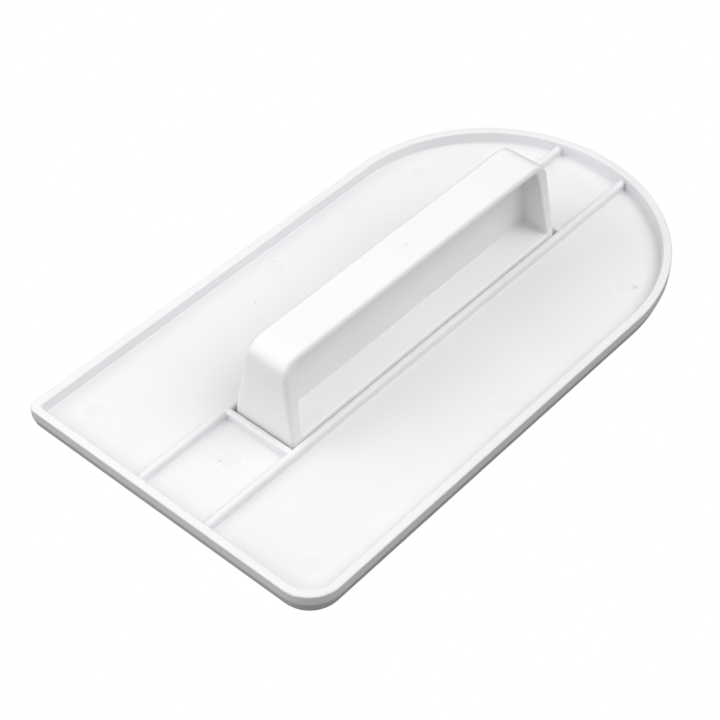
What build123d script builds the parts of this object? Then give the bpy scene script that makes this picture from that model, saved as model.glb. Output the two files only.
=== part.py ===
from build123d import *
import os

os.makedirs("parts", exist_ok=True)

# Frame: origin on the flat underside at the middle of the plate, +Y to the round end, +Z up. Millimetres.

# Plate outline: a rectangle closed by a half circle, with one small and one large front corner.
plate_width = 80.0
plate_length = 145.0
left_corner_radius = 2.0
right_corner_radius = 8.0

# Plate section: a thin floor inside a raised rim, whose outer wall leans in towards the sole.
floor_thickness = 2.6
rim_height = 5.7
rim_width = 2.0
rim_edge_radius = 0.4
tray_foot_radius = 0.4
tray_left_corner_radius = 0.8
sole_lean_height = 3.2
sole_lean = 1.0
sole_lean_radius = 1.8
sole_edge_radius = 0.9

# Ribs: two long ones side by side, joined by two cross ribs that close a pocket, a little off the middle.
rib_spacing = 18.8
cross_rib_spacing = 90.5
pocket_middle_y = 0.32
rib_top = 4.7
rib_root_width = 1.7
rib_crest_width = 1.6
rib_edge_radius = 0.7
rib_into_rim = 1.0

# Ejector pin marks: shallow round dents in the floor, in three mirrored pairs and a single one.
pin_diameter = 4.8
pin_depth = 0.06
pin_pairs = [(30.8, -62.5), (32.3, -4.9), (30.0, 41.5)]
pin_single = (0.0, -53.8)

# Handle outline: upright foot sides, sloping grip sides above them, sloping ends. It sits in the pocket
# against the long rib on the +X side and nearer to the front cross rib.
handle_middle_x = 0.2
handle_middle_y = 0.15
handle_top = 25.0
foot_width = 16.6
foot_side_top = 5.1
foot_length = 87.8
bar_width = 10.4
bar_length = 85.6
bar_end_radius = 5.0
grip_edge_radius = 1.2

# Finger recesses: one from each side, with a web between them and the foot slab under them.
recess_floor = 5.6
recess_root_length = 82.3
recess_crest_length = 78.7
bar_thickness = 1.7
web_thickness = 2.0
recess_low_corner_radius = 0.7
recess_high_corner_radius = 1.8
recess_rim_radius = 0.45
web_root_radius = 0.3

# The moulding gate's mark on the middle of the bar.
gate_diameter = 1.6
gate_depth = 0.12

# Worked out
front_y = -plate_length / 2
recess_top = handle_top - bar_thickness
selector_gap = 0.05


def plate_outline(inset, left_radius, right_radius):
    """Return the plate's outline as a face, moved inwards by inset."""
    half_width = plate_width / 2 - inset
    front = front_y + inset
    arc_start = plate_length / 2 - plate_width / 2
    with BuildSketch() as outline:
        with BuildLine():
            Line((-half_width, arc_start), (-half_width, front))
            Line((-half_width, front), (half_width, front))
            Line((half_width, front), (half_width, arc_start))
            ThreePointArc((half_width, arc_start), (0, arc_start + half_width), (-half_width, arc_start))
        make_face()
        fillet(outline.vertices().group_by(Axis.Y)[0].sort_by(Axis.X)[0], left_radius)
        fillet(outline.vertices().group_by(Axis.Y)[0].sort_by(Axis.X)[-1], right_radius)
    return outline.sketch


def upright_section(low_half, low, high_half, high):
    """Return a section that narrows upwards, given its half width at its low and at its high end."""
    with BuildSketch() as section:
        with BuildLine():
            Polyline((-low_half, low), (low_half, low), (high_half, high), (-high_half, high), close=True)
        make_face()
    return section.sketch


def rib_profile():
    """Return a rib's cross section, standing on the plane's origin, with a rounded crest."""
    with BuildSketch() as profile:
        add(upright_section(rib_root_width / 2, 0, rib_crest_width / 2, rib_top - floor_thickness))
        fillet(profile.vertices().group_by(Axis.Y)[-1], rib_edge_radius)
    return profile.sketch


def long_rib_length():
    """Return how far a long rib runs, from inside the front rim to inside the round rim."""
    arc_start = plate_length / 2 - plate_width / 2
    arc_radius = plate_width / 2 - rim_width + rib_into_rim
    back_end = arc_start + (arc_radius**2 - (rib_spacing / 2) ** 2) ** 0.5
    return back_end - (front_y + rim_width - rib_into_rim)


with BuildPart() as base_plate:
    with BuildSketch(Plane.XY):
        add(plate_outline(0, left_corner_radius, right_corner_radius))
    extrude(amount=rim_height)
    sole = base_plate.faces().sort_by(Axis.Z)[0]
    chamfer(sole.edges(), length=sole_lean, length2=sole_lean_height, reference=sole)
    fillet(base_plate.edges().filter_by_position(Axis.Z, sole_lean_height, sole_lean_height), sole_lean_radius)
    fillet(base_plate.faces().sort_by(Axis.Z)[0].edges(), sole_edge_radius)

    with BuildSketch(Plane.XY.offset(floor_thickness)):
        add(plate_outline(rim_width, tray_left_corner_radius, right_corner_radius - rim_width))
    extrude(amount=rim_height - floor_thickness, mode=Mode.SUBTRACT)
    tray_floor = base_plate.faces().filter_by(Plane.XY).sort_by(Axis.Z)[1]
    fillet(tray_floor.edges(), tray_foot_radius)
    fillet(base_plate.faces().filter_by(Plane.XY).sort_by(Axis.Z)[-1].edges(), rim_edge_radius)

    long_rib_front = front_y + rim_width - rib_into_rim
    for rib_x in (-rib_spacing / 2, rib_spacing / 2):
        rib_start = (rib_x, long_rib_front, floor_thickness)
        with BuildSketch(Plane(origin=rib_start, x_dir=(1, 0, 0), z_dir=(0, -1, 0))):
            add(rib_profile())
        extrude(amount=-long_rib_length())

    for rib_offset in (-cross_rib_spacing / 2, cross_rib_spacing / 2):
        rib_start = (-rib_spacing / 2, pocket_middle_y + rib_offset, floor_thickness)
        with BuildSketch(Plane(origin=rib_start, x_dir=(0, 1, 0), z_dir=(1, 0, 0))):
            add(rib_profile())
        extrude(amount=rib_spacing)

    pin_places = [pin_single]
    for pin_x, pin_y in pin_pairs:
        pin_places += [(-pin_x, pin_y), (pin_x, pin_y)]
    with BuildSketch(Plane.XY.offset(floor_thickness)):
        with Locations(*pin_places):
            Circle(pin_diameter / 2)
    extrude(amount=-pin_depth, mode=Mode.SUBTRACT)

base_plate.part.label = "base_plate"
export_step(base_plate.part, "parts/base_plate.step")


with BuildPart() as handle:
    handle_middle = (handle_middle_x, handle_middle_y, 0)
    with BuildSketch(Plane(origin=handle_middle, x_dir=(0, 1, 0), z_dir=(1, 0, 0))):
        add(upright_section(foot_length / 2, floor_thickness, bar_length / 2, handle_top))
    extrude(amount=foot_width / 2, both=True)
    with BuildSketch(Plane(origin=handle_middle, x_dir=(1, 0, 0), z_dir=(0, -1, 0))):
        add(upright_section(foot_width / 2, foot_side_top, bar_width / 2, handle_top))
        add(upright_section(foot_width / 2, floor_thickness, foot_width / 2, foot_side_top))
    extrude(amount=foot_length / 2, both=True, mode=Mode.INTERSECT)
    bar_ends = handle.faces().sort_by(Axis.Z)[-1].edges().filter_by(Axis.X)
    fillet(bar_ends, bar_end_radius)
    lengthwise_edges = handle.edges().filter_by(Axis.Y).group_by(Axis.Z)
    crosswise_edges = handle.edges().filter_by(Axis.X)
    fillet(handle.edges() - crosswise_edges - lengthwise_edges[0] - lengthwise_edges[1], grip_edge_radius)

    for side in (-1, 1):
        web_face = (handle_middle_x + side * web_thickness / 2, handle_middle_y, 0)
        with BuildSketch(Plane(origin=web_face, x_dir=(0, side, 0), z_dir=(side, 0, 0))) as recess:
            add(upright_section(recess_root_length / 2, recess_floor, recess_crest_length / 2, recess_top))
            fillet(recess.vertices().group_by(Axis.Y)[0], recess_low_corner_radius)
            fillet(recess.vertices().group_by(Axis.Y)[-1], recess_high_corner_radius)
        extrude(amount=foot_width / 2, mode=Mode.SUBTRACT)
    rim_wires = [wire for face in handle.faces() for wire in face.inner_wires()]
    fillet([edge for wire in rim_wires for edge in wire.edges()], recess_rim_radius)
    for web_x in (handle_middle_x - web_thickness / 2, handle_middle_x + web_thickness / 2):
        web_outline = handle.edges().filter_by_position(Axis.X, web_x - selector_gap, web_x + selector_gap)
        fillet(web_outline, web_root_radius)

    with BuildSketch(Plane.XY.offset(handle_top)):
        with Locations((handle_middle_x, handle_middle_y)):
            Circle(gate_diameter / 2)
    extrude(amount=-gate_depth, mode=Mode.SUBTRACT)

handle.part.label = "handle"
export_step(handle.part, "parts/handle.step")
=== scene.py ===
import math

import bpy
from mathutils import Matrix, Vector

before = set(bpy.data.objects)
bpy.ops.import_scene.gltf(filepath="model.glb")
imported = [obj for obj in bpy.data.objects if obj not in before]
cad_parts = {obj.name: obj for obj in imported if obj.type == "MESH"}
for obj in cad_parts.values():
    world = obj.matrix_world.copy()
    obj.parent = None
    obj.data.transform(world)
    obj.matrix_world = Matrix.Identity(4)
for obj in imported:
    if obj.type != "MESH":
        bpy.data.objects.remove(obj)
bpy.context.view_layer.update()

MM = 0.001

# ---------------------------------------------------------------- camera
CAMERA_AZIMUTH = math.radians(41.30)
CAMERA_ELEVATION = math.radians(45.26)
CAMERA_DISTANCE = 407.6 * MM
CAMERA_AIM = Vector((0.0, -13.5 * MM, 1.2 * MM))
CAMERA_LENS = 94.74
CAMERA_SENSOR = 36.0
CAMERA_NEAR = 10 * MM
CAMERA_FAR = 10.0

# ---------------------------------------------------------------- light
SKY_STRENGTH = 0.37
GROUND_STRENGTH = 0.0
HORIZON_BLUR = 0.12
FLOOR_SIZE = 20.0
FLOOR_COLOUR = (0.13, 0.13, 0.13, 1)
LIGHT_SIZE = math.radians(50)
# Each light's name, azimuth and elevation in degrees, strength, and distance in metres. One without a
# distance is so far off that it doesn't fade along the object.
LIGHTS = [
    ("key_front_left", -135, 22, 0.9, None),
    ("key_front", -112, 42, 0.7, 0.6),
    ("key_back_right", 45, 55, 1.15, None),
    ("fill_right", 0, 55, 0.75, None),
    ("fill_left", 180, 55, 0.3, None),
    ("fill_back_left", 135, 50, 0.1, None),
]

# ---------------------------------------------------------------- white plastic
PLATE_LIGHT = (0.808, 0.810, 0.823, 1)
PLATE_DARK = (0.793, 0.795, 0.808, 1)
HANDLE_LIGHT = (0.862, 0.860, 0.866, 1)
HANDLE_DARK = (0.848, 0.846, 0.852, 1)
PLASTIC_IOR = 1.47
CLOUD_SCALE = 38.0
CLOUD_DETAIL = 3.0
CLOUD_EDGES = (0.35, 0.65)
GRAIN_SCALE = 1400.0
GRAIN_DETAIL = 2.0
GRAIN_HEIGHT = 0.010
ROUGHNESS_CLEAN = 0.32
ROUGHNESS_SCUFFED = 0.46
SCUFF_SCALE = 600.0
SCUFF_DETAIL = 4.0
SCUFF_EDGES = (0.45, 0.75)
SCUFF_TURN = math.radians(14)
SCUFF_STRETCH = (1.0, 0.06, 1.0)
SPECK_SCALE = 75.0
SPECK_RARITY = 0.72
SPECK_RARITY_BLUR = 0.1
SPECK_SIZE = 0.022
SPECK_COLOUR = (0.50, 0.48, 0.46, 1)

# Moulding marks, in millimetres: ejector pins on the floor, mirrored left and right, and the gate on the
# bar. Each is a darker disc of painted shade in a paler ring of painted highlight, broken up by noise.
PIN_RADIUS = 2.4
PIN_MIDDLES = [(30.8, -62.5), (32.3, -4.9), (30.0, 41.5), (0.0, -53.8)]
GATE_RADIUS = 0.8
GATE_MIDDLE = (0.2, 0.15)
DISC_SHADE = 0.20
DENT_SHADE_COLOUR = (0.740, 0.735, 0.750, 1)
DISC_BLUR = 0.6
RING_HIGHLIGHT_AMOUNT = 0.28
RING_HIGHLIGHT_COLOUR = (0.870, 0.872, 0.884, 1)
RING_SPREAD = 0.35
RING_BREAKUP_SCALE = 300.0
RING_BREAKUP_DETAIL = 2.0
RING_BREAKUP_EDGES = (0.4, 0.6)

# Dirt caught on the edge of a moulding mark: middle and radius in millimetres, and how strongly it shows.
PLATE_DIRT = [((31.8, 42.9), 1.0, 0.55), ((-1.5, -55.1), 0.6, 0.45)]
HANDLE_DIRT = [((0.3, 0.9), 0.8, 0.16)]


def towards(azimuth, elevation):
    """Return the unit vector towards a compass direction (degrees from +X, turning to +Y) and height."""
    turn = math.radians(azimuth)
    rise = math.radians(elevation)
    return Vector((math.cos(turn) * math.cos(rise), math.sin(turn) * math.cos(rise), math.sin(rise)))


def make_camera():
    """Look down on the plate from its front right."""
    data = bpy.data.cameras.new("camera")
    data.lens = CAMERA_LENS
    data.sensor_width = CAMERA_SENSOR
    data.clip_start = CAMERA_NEAR
    data.clip_end = CAMERA_FAR
    camera = bpy.data.objects.new("camera", data)
    back = Vector((
        math.sin(CAMERA_AZIMUTH) * math.cos(CAMERA_ELEVATION),
        -math.cos(CAMERA_AZIMUTH) * math.cos(CAMERA_ELEVATION),
        math.sin(CAMERA_ELEVATION),
    ))
    right = Vector((math.cos(CAMERA_AZIMUTH), math.sin(CAMERA_AZIMUTH), 0.0))
    camera.rotation_euler = Matrix((right, back.cross(right), back)).transposed().to_euler()
    camera.location = CAMERA_AIM + back * CAMERA_DISTANCE
    bpy.context.scene.collection.objects.link(camera)
    bpy.context.scene.camera = camera


def make_world():
    """Light the object from a pale sky over a dark ground, and show the camera plain white."""
    world = bpy.data.worlds.new("studio")
    bpy.context.scene.world = world
    world.use_nodes = True
    nodes = world.node_tree.nodes
    links = world.node_tree.links
    nodes.clear()
    direction = nodes.new("ShaderNodeTexCoord")
    parts = nodes.new("ShaderNodeSeparateXYZ")
    links.new(direction.outputs["Generated"], parts.inputs[0])
    height = nodes.new("ShaderNodeMapRange")
    height.interpolation_type = "SMOOTHSTEP"
    height.inputs["From Min"].default_value = -HORIZON_BLUR
    height.inputs["From Max"].default_value = HORIZON_BLUR
    height.inputs["To Min"].default_value = GROUND_STRENGTH
    height.inputs["To Max"].default_value = SKY_STRENGTH
    links.new(parts.outputs["Z"], height.inputs["Value"])
    surroundings = nodes.new("ShaderNodeBackground")
    links.new(height.outputs[0], surroundings.inputs["Strength"])
    backdrop = nodes.new("ShaderNodeBackground")
    backdrop.inputs["Color"].default_value = (1, 1, 1, 1)
    rays = nodes.new("ShaderNodeLightPath")
    chosen = nodes.new("ShaderNodeMixShader")
    links.new(rays.outputs["Is Camera Ray"], chosen.inputs[0])
    links.new(surroundings.outputs[0], chosen.inputs[1])
    links.new(backdrop.outputs[0], chosen.inputs[2])
    out = nodes.new("ShaderNodeOutputWorld")
    links.new(chosen.outputs[0], out.inputs[0])


def make_lights():
    """Set large soft lights around the object, out of the camera's sight."""
    for name, azimuth, elevation, strength, distance in LIGHTS:
        direction = towards(azimuth, elevation)
        if distance is None:
            data = bpy.data.lights.new(name, "SUN")
            data.energy = strength
            data.angle = LIGHT_SIZE
        else:
            data = bpy.data.lights.new(name, "AREA")
            data.shape = "DISK"
            data.size = 2 * distance * math.tan(LIGHT_SIZE / 2)
            data.energy = strength * math.pi * (distance / math.cos(LIGHT_SIZE / 2)) ** 2
        light = bpy.data.objects.new(name, data)
        light.rotation_euler = direction.to_track_quat("Z", "Y").to_euler()
        light.location = direction * (distance or 0.0)
        light.visible_camera = False
        bpy.context.scene.collection.objects.link(light)


def make_floor():
    """Lay a table that the camera sees as plain white, and that shades the object as a duller surface."""
    bpy.ops.mesh.primitive_plane_add(size=FLOOR_SIZE, location=(0, 0, 0))
    floor = bpy.context.object
    floor.name = "floor"
    material = bpy.data.materials.new("floor")
    material.use_nodes = True
    nodes = material.node_tree.nodes
    links = material.node_tree.links
    nodes.clear()
    surface = nodes.new("ShaderNodeBsdfDiffuse")
    surface.inputs["Color"].default_value = FLOOR_COLOUR
    glow = nodes.new("ShaderNodeEmission")
    rays = nodes.new("ShaderNodeLightPath")
    chosen = nodes.new("ShaderNodeMixShader")
    links.new(rays.outputs["Is Camera Ray"], chosen.inputs[0])
    links.new(surface.outputs[0], chosen.inputs[1])
    links.new(glow.outputs[0], chosen.inputs[2])
    out = nodes.new("ShaderNodeOutputMaterial")
    links.new(chosen.outputs[0], out.inputs[0])
    floor.data.materials.append(material)


class Shading:
    """A material under construction, with short names for the node kinds the plastic needs."""

    def __init__(self, name):
        self.material = bpy.data.materials.new(name)
        self.material.use_nodes = True
        self.nodes = self.material.node_tree.nodes
        self.links = self.material.node_tree.links
        self.shader = self.nodes["Principled BSDF"]
        self.place = self.nodes.new("ShaderNodeTexCoord").outputs["Object"]

    def feed(self, socket, value):
        """Link a node's output to a socket, or set the socket to a plain value."""
        if isinstance(value, bpy.types.NodeSocket):
            self.links.new(value, socket)
        else:
            socket.default_value = value

    def noise(self, scale, detail, place=None):
        """Return cloudy noise over the object, or over another placing of it."""
        node = self.nodes.new("ShaderNodeTexNoise")
        node.inputs["Scale"].default_value = scale
        node.inputs["Detail"].default_value = detail
        self.links.new(place or self.place, node.inputs["Vector"])
        return node.outputs["Fac"]

    def stretched(self, turn, factors):
        """Return the object's coordinates turned about Z and scaled."""
        node = self.nodes.new("ShaderNodeMapping")
        node.inputs["Rotation"].default_value = (0, 0, turn)
        node.inputs["Scale"].default_value = factors
        self.links.new(self.place, node.inputs["Vector"])
        return node.outputs[0]

    def spread(self, value, low, high, to_low, to_high):
        """Return the value carried smoothly from one range to another, and held at its ends."""
        node = self.nodes.new("ShaderNodeMapRange")
        node.interpolation_type = "SMOOTHSTEP"
        node.inputs["From Min"].default_value = low
        node.inputs["From Max"].default_value = high
        node.inputs["To Min"].default_value = to_low
        node.inputs["To Max"].default_value = to_high
        self.links.new(value, node.inputs["Value"])
        return node.outputs[0]

    def math(self, operation, first, second):
        """Return the result of a sum on two outputs or plain values."""
        node = self.nodes.new("ShaderNodeMath")
        node.operation = operation
        self.feed(node.inputs[0], first)
        self.feed(node.inputs[1], second)
        return node.outputs[0]

    def blend(self, factor, first, second):
        """Return the first colour turning into the second as the factor rises."""
        node = self.nodes.new("ShaderNodeMix")
        node.data_type = "RGBA"
        self.links.new(factor, node.inputs[0])
        self.feed(node.inputs[6], first)
        self.feed(node.inputs[7], second)
        return node.outputs[2]

    def distance_to(self, point, mirrored):
        """Return the distance from a point in millimetres, mirrored left and right if asked."""
        parts = self.nodes.new("ShaderNodeSeparateXYZ")
        self.links.new(self.place, parts.inputs[0])
        sideways = parts.outputs["X"]
        if mirrored:
            sideways = self.math("ABSOLUTE", sideways, 0.0)
        across = self.math("SUBTRACT", sideways, point[0] * MM)
        along = self.math("SUBTRACT", parts.outputs["Y"], point[1] * MM)
        squares = self.math("ADD", self.math("POWER", across, 2.0), self.math("POWER", along, 2.0))
        return self.math("SQRT", squares, 0.0)


def plastic(name, light_colour, dark_colour, mark_radius, mark_middles, mirrored, dirt):
    """Return satin white plastic: cloudy and faintly scuffed, with specks, dirt, and moulding marks of
    painted shade and painted highlight.
    """
    shading = Shading(name)
    clouds = shading.spread(shading.noise(CLOUD_SCALE, CLOUD_DETAIL), *CLOUD_EDGES, 0.0, 1.0)
    colour = shading.blend(clouds, light_colour, dark_colour)

    cells = shading.nodes.new("ShaderNodeTexVoronoi")
    cells.inputs["Scale"].default_value = SPECK_SCALE
    shading.links.new(shading.place, cells.inputs["Vector"])
    cell_colour = shading.nodes.new("ShaderNodeSeparateColor")
    shading.links.new(cells.outputs["Color"], cell_colour.inputs[0])
    rarity = (SPECK_RARITY, SPECK_RARITY + SPECK_RARITY_BLUR)
    chosen_cells = shading.spread(cell_colour.outputs[0], *rarity, 0.0, 1.0)
    spots = shading.spread(cells.outputs["Distance"], 0.5 * SPECK_SIZE, SPECK_SIZE, 1.0, 0.0)
    colour = shading.blend(shading.math("MULTIPLY", spots, chosen_cells), colour, SPECK_COLOUR)

    grain = shading.noise(GRAIN_SCALE, GRAIN_DETAIL)
    height = shading.math("MULTIPLY", grain, GRAIN_HEIGHT)
    # Noise that breaks up the ring of painted highlight round each mark.
    ring_breakup_noise = shading.noise(RING_BREAKUP_SCALE, RING_BREAKUP_DETAIL)
    ring_breakup = shading.spread(ring_breakup_noise, *RING_BREAKUP_EDGES, 0.0, 1.0)
    disc_edges = (mark_radius * (1 - DISC_BLUR) * MM, mark_radius * MM)
    # Each moulding mark: a darker disc of painted shade, and a paler ring of painted highlight round it.
    for middle in mark_middles:
        distance = shading.distance_to(middle, mirrored)
        dent_shade = shading.spread(distance, *disc_edges, DISC_SHADE, 0.0)
        colour = shading.blend(dent_shade, colour, DENT_SHADE_COLOUR)
        ring_radius = mark_radius * (1 + 0.5 * RING_SPREAD)
        off_ring = shading.math("ABSOLUTE", shading.math("SUBTRACT", distance, ring_radius * MM), 0.0)
        ring_highlight = shading.spread(off_ring, 0.0, mark_radius * RING_SPREAD * MM, RING_HIGHLIGHT_AMOUNT, 0.0)
        colour = shading.blend(shading.math("MULTIPLY", ring_highlight, ring_breakup), colour, RING_HIGHLIGHT_COLOUR)
    for middle, radius, shade in dirt:
        spot = shading.spread(shading.distance_to(middle, False), 0.0, radius * MM, shade, 0.0)
        colour = shading.blend(spot, colour, SPECK_COLOUR)
    shading.links.new(colour, shading.shader.inputs["Base Color"])

    scuffs = shading.noise(SCUFF_SCALE, SCUFF_DETAIL, shading.stretched(SCUFF_TURN, SCUFF_STRETCH))
    roughness = shading.spread(scuffs, *SCUFF_EDGES, ROUGHNESS_CLEAN, ROUGHNESS_SCUFFED)
    shading.links.new(roughness, shading.shader.inputs["Roughness"])

    bump = shading.nodes.new("ShaderNodeBump")
    bump.inputs["Strength"].default_value = 1.0
    bump.inputs["Distance"].default_value = MM
    shading.links.new(height, bump.inputs["Height"])
    shading.links.new(bump.outputs[0], shading.shader.inputs["Normal"])
    shading.shader.inputs["IOR"].default_value = PLASTIC_IOR
    return shading.material


make_camera()
make_world()
make_lights()
make_floor()
plate_white = plastic(
    "plate_white", PLATE_LIGHT, PLATE_DARK, PIN_RADIUS, PIN_MIDDLES, True, PLATE_DIRT
)
handle_white = plastic(
    "handle_white", HANDLE_LIGHT, HANDLE_DARK, GATE_RADIUS, [GATE_MIDDLE], False, HANDLE_DIRT
)
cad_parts["base_plate"].data.materials[0] = plate_white
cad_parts["handle"].data.materials[0] = handle_white
bpy.context.scene.view_settings.view_transform = "Standard"
